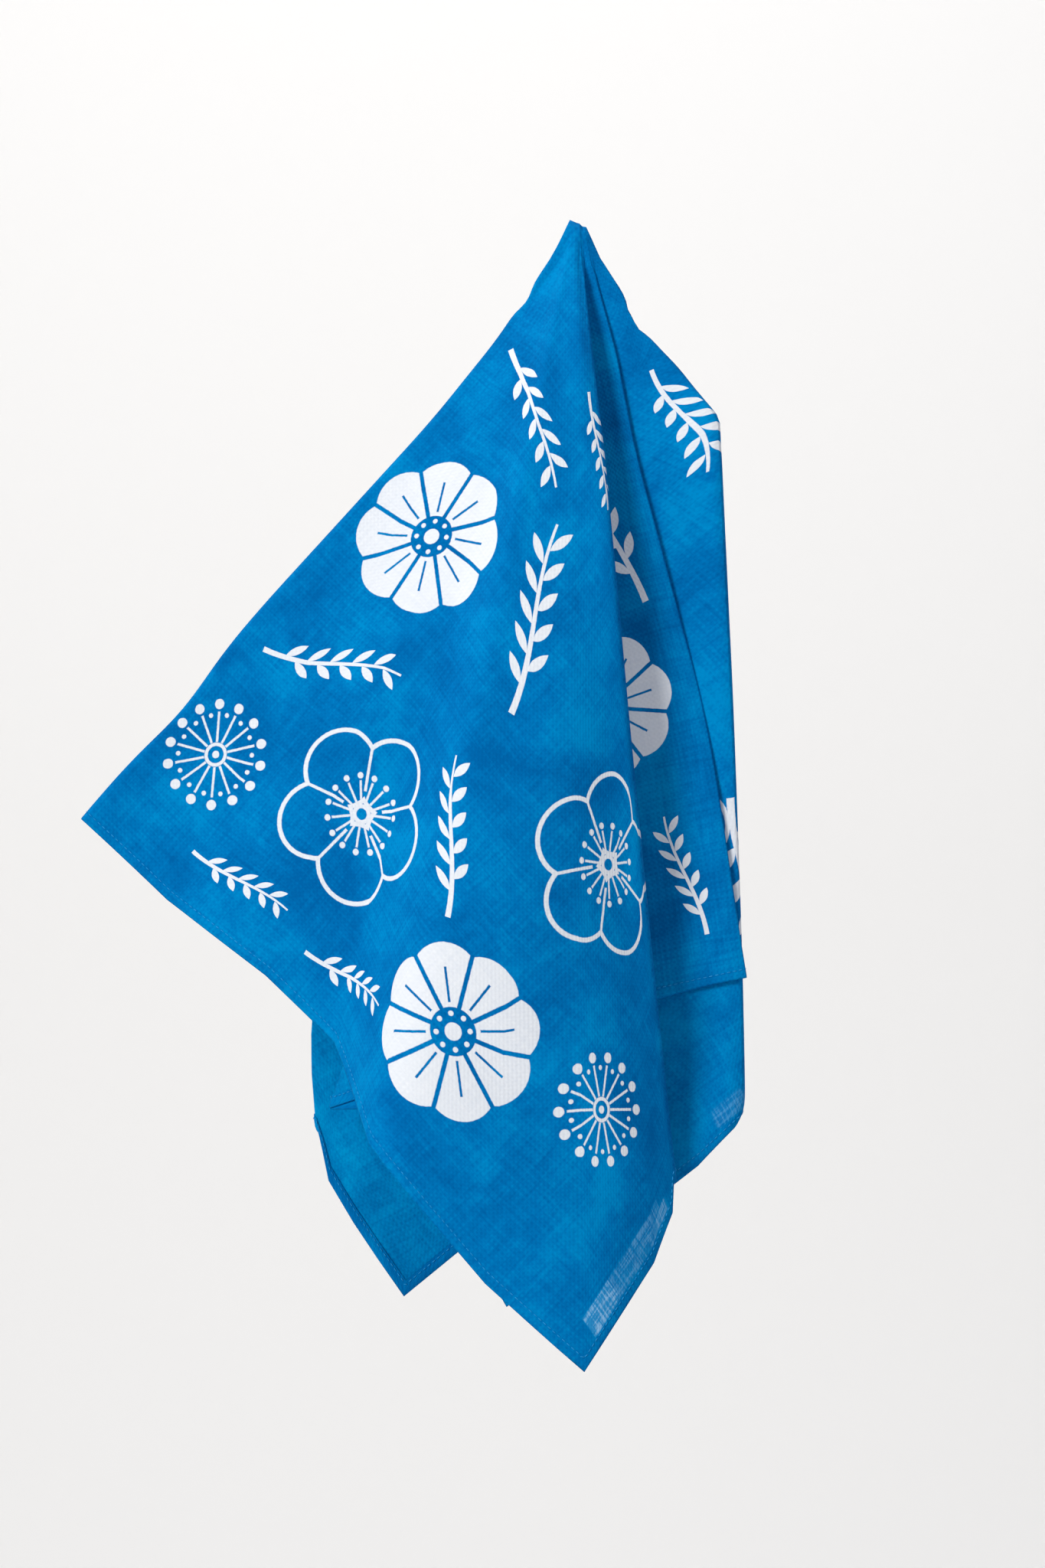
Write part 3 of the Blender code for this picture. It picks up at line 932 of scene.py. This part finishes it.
def draw_twig():
    tree, given = new_drawing("twig")
    parts = add(tree, "ShaderNodeSeparateXYZ", (given.outputs[0],))
    along = parts.outputs["X"]
    bow = add(tree, MATH, (along, 1 / BOW_LENGTH), operation="MULTIPLY")
    bow = add(tree, MATH, (bow,), operation="SINE")
    bow = add(tree, MATH, (bow, BOW_HEIGHT), operation="MULTIPLY")
    off = add(tree, MATH, (parts.outputs["Y"], bow), operation="SUBTRACT")
    away = add(tree, MATH, (off,), operation="ABSOLUTE")
    thick = add(tree, MATH, (along, -STEM_TAPER, STEM_HALF_WIDTH), operation="MULTIPLY_ADD")
    stem = add(tree, MATH, (away, thick), operation="SUBTRACT")
    stem = add(tree, MATH, (stem, band(tree, along, 0.0, TWIG_HALF)), operation="MAXIMUM")

    flip = add(tree, MATH, (off,), operation="SIGN")
    staggered = add(tree, MATH, (flip, LEAF_PITCH / 4, along), operation="MULTIPLY_ADD")
    wrap = (staggered, LEAF_PITCH - LEAF_STARTS_BEFORE, -LEAF_STARTS_BEFORE)
    local = add(tree, MATH, wrap, operation="WRAP")
    root = add(tree, MATH, (staggered, local), operation="SUBTRACT")
    leaf_place = add(tree, "ShaderNodeCombineXYZ", (local, away, 0.0))
    lean, upright = math.cos(LEAF_LEAN), math.sin(LEAF_LEAN)
    lengthways = add(tree, VECTOR, (leaf_place, (lean, upright, 0.0)), operation="DOT_PRODUCT")
    sideways = add(tree, VECTOR, (leaf_place, (-upright, lean, 0.0)), operation="DOT_PRODUCT")
    bulge = add(tree, MATH, (lengthways, LEAF_MIDDLE), operation="SUBTRACT")
    bulge = add(tree, MATH, (bulge, LEAF_HALF_LENGTH), operation="DIVIDE")
    bulge = add(tree, MATH, (bulge, 2.0), operation="POWER")
    bulge = add(tree, MATH, (bulge, -LEAF_HALF_WIDTH, LEAF_HALF_WIDTH), operation="MULTIPLY_ADD")
    leaf = add(tree, MATH, (sideways,), operation="ABSOLUTE")
    leaf = add(tree, MATH, (leaf, bulge), operation="SUBTRACT")
    leaf = add(tree, MATH, (leaf, band(tree, root, 0.0, TWIG_HALF - BARE_ENDS)), operation="MAXIMUM")
    return finish_drawing(tree, [stem, leaf])


DRAWINGS = {
    "plum_blossom": draw_plum_blossom(),
    "cosmos": draw_cosmos(),
    "seed_head": draw_seed_head(),
    "twig": draw_twig(),
}
print("drawn:", ", ".join(DRAWINGS))

# %% [markdown]
# ## Laying the figures out
#
# Drawing every figure at every place would take hundreds of nodes. A point of cloth only needs the
# nearest one of each kind, so for each kind the places are compared first, and the drawing is made
# once, at the winner. A twig is long and thin, so its distance is measured with its width stretched.

# %% The print as one group
SQUASH = {"twig": (1.0, 2.4, 1.0)}
PRINT_STOPS_AT = 8.5
SIDE_MM = SIDE * 1000


def turn_to_front_quarter(tree, here):
    """Turns a place on the cloth by whole quarters until it lies in the front one."""
    parts = add(tree, "ShaderNodeSeparateXYZ", (here,))
    angle = add(tree, MATH, (parts.outputs["Y"], parts.outputs["X"]), operation="ARCTAN2")
    angle = add(tree, MATH, (angle, QUARTER_STARTS), operation="SUBTRACT")
    quarters = add(tree, MATH, (angle, math.pi / 2), operation="DIVIDE")
    quarters = add(tree, MATH, (quarters,), operation="FLOOR")
    back = add(tree, MATH, (quarters, -math.pi / 2), operation="MULTIPLY")
    return add(tree, "ShaderNodeVectorRotate", {"Vector": here, "Angle": back}, rotation_type="Z_AXIS")


def nearest_figure(tree, here, kind):
    """The place on its drawing of a point of cloth, for the nearest figure of this kind."""
    stretch = SQUASH.get(kind, (1.0, 1.0, 1.0))
    nearest = None
    for figure in (f for f in FIGURES if f.kind == kind):
        stand = {
            "Vector": here,
            "Location": (figure.x, figure.y, 0.0),
            "Rotation": (0.0, 0.0, math.radians(figure.turn)),
            "Scale": (figure.size, figure.size, 1.0),
        }
        local = add(tree, "ShaderNodeMapping", stand, vector_type="TEXTURE")
        measured = add(tree, VECTOR, (local, stretch), operation="MULTIPLY")
        far = add(tree, VECTOR, (measured,), operation="LENGTH")
        if nearest is None:
            nearest, least = local, far
            continue
        closer = add(tree, MATH, (far, least), operation="LESS_THAN")
        nearest = add(tree, "ShaderNodeMix", (closer, nearest, local), data_type="VECTOR")
        least = add(tree, MATH, (far, least), operation="MINIMUM")
    return nearest


def make_print():
    """Takes a place in millimetres from the middle and gives the distance to the white."""
    tree, given = new_drawing("white_print")
    here = given.outputs[0]
    quarter = turn_to_front_quarter(tree, here)
    shapes = []
    for kind, drawing in DRAWINGS.items():
        local = nearest_figure(tree, quarter, kind)
        shapes.append(add(tree, "ShaderNodeGroup", (local,), node_tree=drawing))

    from_middle = add(tree, VECTOR, (here,), operation="ABSOLUTE")
    parts = add(tree, "ShaderNodeSeparateXYZ", (from_middle,))
    outermost = add(tree, MATH, (parts.outputs["X"], parts.outputs["Y"]), operation="MAXIMUM")
    past_margin = add(tree, MATH, (outermost, SIDE_MM / 2 - PRINT_STOPS_AT), operation="SUBTRACT")
    kept = add(tree, MATH, (nearest_of(tree, shapes), past_margin), operation="MAXIMUM")
    add(tree, "NodeGroupOutput", {"Distance": kept})
    return tree


PRINT = make_print()
print(len(PRINT.nodes), "nodes lay out", len(FIGURES), "figures")

# %% [markdown]
# ## The lawn
#
# Cotton lawn is a plain weave of fine combed yarn, about 24 threads to the centimetre. Here it was
# dyed by hand, so the blue is cloudy, lighter and darker over a few centimetres, with single threads
# that took more or less dye, and beside the hem a strip took so little that the bare threads show.
# The wrong side looks a little greener. Two broad lighter patches, on the right lobe and on the strip
# at the right edge, are painted light. All of that follows the threads, so every pattern reads the
# map of the flat square and none the place in the room.

# %% Where the dye is thin, and two patches of painted light, in millimetres from the middle
Patch = namedtuple("Patch", "name x y half_x half_y soft strength")
THIN_DYE_AND_PAINTED_LIGHT_PATCHES = (
    Patch("strip_by_front_corner", 252.0, -240.0, 3.7, 8.0, 1.2, 1.0),
    Patch("strip_goes_on", 252.0, -216.0, 3.6, 20.0, 1.5, 0.62),
    Patch("strip_ends", 254.0, -196.0, 1.4, 5.0, 2.0, 0.85),
    Patch("right_lobe", 163.0, 252.0, 6.0, 1.5, 6.0, 0.56),
    # Painted light: the next two lighten the blue on the right lobe and on the strip at the right edge,
    # where light falls
    Patch("painted_light_on_lobe", 170.0, 240.0, 30.0, 20.0, 25.0, 0.30),
    Patch("painted_light_on_outer_strip", 72.0, 106.0, 35.0, 52.0, 25.0, 0.34),
    Patch("wing_tip", 16.0, -238.0, 3.0, 6.0, 12.0, 0.35),
    Patch("front_corner_cloud", 212.0, -214.0, 20.0, 2.0, 12.0, 0.30),
)


def make_thin_dye_and_painted_light():
    """Takes a place in millimetres and gives how thin the dye is there, 0 for full dye, with two broad
    patches that are painted light on the right edge.
    """
    tree, given = new_group("thin_dye_and_painted_light", "ShaderNodeTree", {"Place": "Vector"}, {"Thin": "Float"})
    thinnest = None
    for patch in THIN_DYE_AND_PAINTED_LIGHT_PATCHES:
        offset = add(tree, VECTOR, (given.outputs[0], (patch.x, patch.y, 0.0)), operation="SUBTRACT")
        offset = add(tree, VECTOR, (offset,), operation="ABSOLUTE")
        offset = add(tree, VECTOR, (offset, (patch.half_x, patch.half_y, 1.0)), operation="SUBTRACT")
        offset = add(tree, VECTOR, (offset, (0.0, 0.0, 0.0)), operation="MAXIMUM")
        outside = add(tree, VECTOR, (offset,), operation="LENGTH")
        thin = add(
            tree,
            "ShaderNodeMapRange",
            {"Value": outside, "From Min": patch.soft, "From Max": 0.0, "To Max": patch.strength},
            interpolation_type="SMOOTHSTEP",
        )
        thinnest = add(tree, MATH, (thinnest, thin), operation="MAXIMUM") if thinnest else thin
    add(tree, "NodeGroupOutput", {"Thin": thinnest})
    return tree


THIN_DYE_AND_PAINTED_LIGHT = make_thin_dye_and_painted_light()
print(len(THIN_DYE_AND_PAINTED_LIGHT_PATCHES), "patches of thin dye")

# %% Threads: the weave, and slubs where a thread is thicker or thinner for a while
# About twice the real pitch, or the weave wouldn't show at all
THREAD_PITCH_MM = 0.9
SLUB_LONG_MM = 12.0
SLUB_WIDE_MM = 0.9


def draw_threads(tree, here):
    """Gives the unevenness of the threads both ways, about 1, and the weave, from -1 to 1."""
    threads = []
    for across, along in ((SLUB_WIDE_MM, SLUB_LONG_MM), (SLUB_LONG_MM, SLUB_WIDE_MM)):
        scale = (1 / across, 1 / along, 1.0)
        slub = add(tree, "ShaderNodeMapping", {"Vector": here, "Scale": scale})
        threads.append(add(tree, "ShaderNodeTexNoise", {"Vector": slub, "Scale": 1.0, "Detail": 2.0}))
    slubs = add(tree, MATH, threads, operation="ADD")

    pitch = {"Vector": here, "Scale": math.pi / THREAD_PITCH_MM}
    turns = add(tree, VECTOR, pitch, operation="SCALE")
    turns = add(tree, "ShaderNodeSeparateXYZ", (turns,))
    over = add(tree, MATH, (turns.outputs["X"],), operation="SINE")
    under = add(tree, MATH, (turns.outputs["Y"],), operation="SINE")
    return slubs, add(tree, MATH, (over, under), operation="MULTIPLY")


# %% Dye: cloudy, uneven by the thread, and gone from bare threads where it is thin
Dye = namedtuple("Dye", "dark mid light thin white pale")
CLOUD_MM = 30.0
# How far slubs, weave, thin dye and painted light shift the blue along its ramp, and where its colours
# stand
SLUB_SHIFT = 0.34
WEAVE_SHIFT = 0.035
THIN_DYE_AND_PAINTED_LIGHT_SHIFT = 0.22
DARK_AT = 0.32
MID_AT = 0.50
LIGHT_AT = 0.70
# Threads show bare from this thinness of dye on: a little everywhere, and more as slubs grow stronger
BARE_THREADS_FROM = 0.4
BARE_LEAST = 0.08
BARE_MORE = 0.75
BARE_SLUBS = (0.94, 1.18)


def dye_blue(tree, here, slubs, weave, colours):
    clouds = add(
        tree,
        "ShaderNodeTexNoise",
        {"Vector": here, "Scale": 1 / CLOUD_MM, "Detail": 5.0, "Roughness": 0.66, "Distortion": 0.4},
    )
    # Thin dye lightens the blue, and so does the painted light on the right lobe and the strip at the
    # right edge
    thin = add(tree, "ShaderNodeGroup", (here,), node_tree=THIN_DYE_AND_PAINTED_LIGHT)
    shade = add(tree, MATH, (slubs, SLUB_SHIFT, -SLUB_SHIFT), operation="MULTIPLY_ADD")
    shade = add(tree, MATH, (clouds, shade), operation="ADD")
    shade = add(tree, MATH, (weave, WEAVE_SHIFT, shade), operation="MULTIPLY_ADD")
    shade = add(tree, MATH, (thin, THIN_DYE_AND_PAINTED_LIGHT_SHIFT, shade), operation="MULTIPLY_ADD")
    blue = add(tree, "ShaderNodeValToRGB", {"Fac": shade})
    dark, light = blue.color_ramp.elements
    dark.position = DARK_AT
    dark.color = linear(colours.dark)
    light.position = LIGHT_AT
    light.color = linear(colours.light)
    blue.color_ramp.elements.new(MID_AT).color = linear(colours.mid)

    least, most = BARE_SLUBS
    bare = add(tree, "ShaderNodeMapRange", {"Value": slubs, "From Min": least, "From Max": most})
    bare = add(tree, MATH, (bare, BARE_MORE, BARE_LEAST), operation="MULTIPLY_ADD")
    barest = add(tree, "ShaderNodeMapRange", {"Value": thin, "From Min": BARE_THREADS_FROM})
    bare = add(tree, MATH, (bare, barest), operation="MULTIPLY")
    return add(tree, "ShaderNodeMix", (bare, blue, linear(colours.thin)), data_type="RGBA")


# %% White figures, with an edge that wobbles by a thread
EDGE_WOBBLE_MM = 0.22
WOBBLES_PER_MM = 0.9
EDGE_SOFT_MM = 0.16
# How far slubs shift the white between pale and white, and from where
WHITE_SHIFT = 0.8
WHITE_START = -0.3


def leave_white(tree, here, dyed, slubs, colours):
    figures = add(tree, "ShaderNodeGroup", (here,), node_tree=PRINT)
    wobble = add(tree, "ShaderNodeTexNoise", {"Vector": here, "Scale": WOBBLES_PER_MM, "Detail": 1.0})
    wobble = (wobble, EDGE_WOBBLE_MM, -EDGE_WOBBLE_MM / 2)
    wobble = add(tree, MATH, wobble, operation="MULTIPLY_ADD")
    distance = add(tree, MATH, (figures, wobble), operation="ADD")
    ink = add(
        tree,
        "ShaderNodeMapRange",
        {"Value": distance, "From Min": EDGE_SOFT_MM, "From Max": -EDGE_SOFT_MM},
        interpolation_type="SMOOTHSTEP",
    )
    clean = add(tree, MATH, (slubs, WHITE_SHIFT, WHITE_START), operation="MULTIPLY_ADD")
    pale_to_white = (clean, linear(colours.pale), linear(colours.white))
    white = add(tree, "ShaderNodeMix", pale_to_white, data_type="RGBA")
    return add(tree, "ShaderNodeMix", (ink, dyed, white), data_type="RGBA")


# %% Cotton lawn, right side and wrong side
WEAVE_RELIEF = 0.00012
SLUB_RELIEF = 0.8


def make_lawn(name, colours):
    """Plain-woven cotton: matt, with a faint sheen in its own colour and the relief of its threads."""
    material = new_material(name)
    tree = material.node_tree
    cut = add(tree, "ShaderNodeUVMap", uv_map="cut")
    middle_at = (-SIDE_MM / 2, -SIDE_MM / 2, 0.0)
    here = add(tree, VECTOR, (cut, (SIDE_MM, SIDE_MM, 1.0), middle_at), operation="MULTIPLY_ADD")
    slubs, weave = draw_threads(tree, here)
    dyed = dye_blue(tree, here, slubs, weave, colours)
    colour = leave_white(tree, here, dyed, slubs, colours)
    height = add(tree, MATH, (slubs, SLUB_RELIEF, weave), operation="MULTIPLY_ADD")
    relief = {"Height": height, "Strength": 0.35, "Distance": WEAVE_RELIEF}
    lawn = add(
        tree,
        "ShaderNodeBsdfPrincipled",
        {
            "Base Color": colour,
            "Roughness": 0.86,
            "Specular IOR Level": 0.08,
            "Specular Tint": linear(colours.mid),
            "Sheen Weight": 0.04,
            "Sheen Roughness": 0.6,
            "Sheen Tint": linear(colours.mid),
            "Normal": add(tree, "ShaderNodeBump", relief),
        },
    )
    add(tree, "ShaderNodeOutputMaterial", {"Surface": lawn})
    return material


RIGHT_SIDE_DYE = Dye("#005fa2", "#0070b4", "#0086c6", "#8fbfe8", "#e8ecf2", "#d6dde8")
WRONG_SIDE_DYE = Dye("#0068a8", "#007cbc", "#0090cc", "#8fbfe8", "#e6ecf2", "#d4dfea")
right_side = make_lawn("dyed_cotton_lawn_right_side", RIGHT_SIDE_DYE)
wrong_side = make_lawn("dyed_cotton_lawn_wrong_side", WRONG_SIDE_DYE)
cloth.data.materials.append(right_side)
cloth.data.materials.append(wrong_side)
print("finishes:", right_side.name, "and", wrong_side.name)

# %% [markdown]
# ## Floor, light and sky
#
# The cloth is shown in a plain studio: a pale floor that curves up far behind, a big soft lamp above
# the left shoulder of the viewer, a weak one at the right, one for the backdrop, and a pale sky that
# fills the shade between the folds. A backdrop right behind the cloth would catch its shadow, but it
# would stand in every view from behind, so the backdrop keeps its distance.

# %% A floor that sweeps up into a backdrop
FLOOR_DEPTH = -1.05
BACKDROP_AT = 2.4
SWEEP_RADIUS = 0.8
FLOOR_HALF = 6.0
SWEEP_STEPS = 16


def make_floor():
    """A strip that runs flat towards the backdrop, then up along a quarter circle."""
    line = [(-FLOOR_HALF, FLOOR_DEPTH)]
    for step in range(SWEEP_STEPS + 1):
        angle = math.pi / 2 * step / SWEEP_STEPS
        y = BACKDROP_AT - SWEEP_RADIUS + SWEEP_RADIUS * math.sin(angle)
        z = FLOOR_DEPTH + SWEEP_RADIUS - SWEEP_RADIUS * math.cos(angle)
        line.append((y, z))
    line.append((BACKDROP_AT, FLOOR_HALF))
    points = [(side * FLOOR_HALF, y, z) for y, z in line for side in (-1, 1)]
    faces = [(2 * n, 2 * n + 1, 2 * n + 3, 2 * n + 2) for n in range(len(line) - 1)]
    mesh = bpy.data.meshes.new("studio_floor")
    mesh.from_pydata(points, [], faces)
    mesh.shade_smooth()
    return mesh


floor = put_in_scene("studio_floor", make_floor())
paint = new_material("matt_white_paint")
matt = {"Base Color": linear("#f6f5f4"), "Roughness": 0.95}
coat = add(paint.node_tree, "ShaderNodeBsdfPrincipled", matt)
add(paint.node_tree, "ShaderNodeOutputMaterial", {"Surface": coat})
floor.data.materials.append(paint)

# %% Lamps
AT_CLOTH = (-0.03, 0.0, -0.19)
AT_BACKDROP = (0.0, BACKDROP_AT, -0.2)
Lamp = namedtuple("Lamp", "name place aim size power colour")
LAMPS = (
    Lamp("key_softbox", (-1.55, -1.60, 0.75), AT_CLOTH, 0.9, 48.5, "#fffcf6"),
    Lamp("fill_softbox", (1.3, -1.6, -0.1), AT_CLOTH, 1.0, 6.2, "#f4f7ff"),
    Lamp("backdrop_light", (0.0, 0.6, 1.6), AT_BACKDROP, 2.4, 36.0, "#ffffff"),
)

for lamp in LAMPS:
    light = bpy.data.lights.new(lamp.name, "AREA")
    light.shape = "DISK"
    light.size = lamp.size
    light.energy = lamp.power
    light.color = linear(lamp.colour)[:3]
    holder = put_in_scene(lamp.name, light)
    holder.location = lamp.place
    holder.rotation_euler = (Vector(lamp.aim) - holder.location).to_track_quat("-Z", "Y").to_euler()
print(len(LAMPS), "lamps")

# %% Pale sky
SKY_STRENGTH = 0.21

world = bpy.data.worlds.new("pale_sky")
world.use_nodes = True
sky = world.node_tree.nodes["Background"].inputs
sky["Color"].default_value = linear("#eef2fb")
sky["Strength"].default_value = SKY_STRENGTH
bpy.context.scene.world = world
bpy.context.scene.view_settings.view_transform = "Standard"

# %% [markdown]
# ## The pieces
#
# The thin cloth stands for the plain solid, and the stitches ride with it.

# %% Say what each piece is
for piece in (cloth, sewing_line):
    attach(piece, "root")
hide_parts("bandana_cloth")
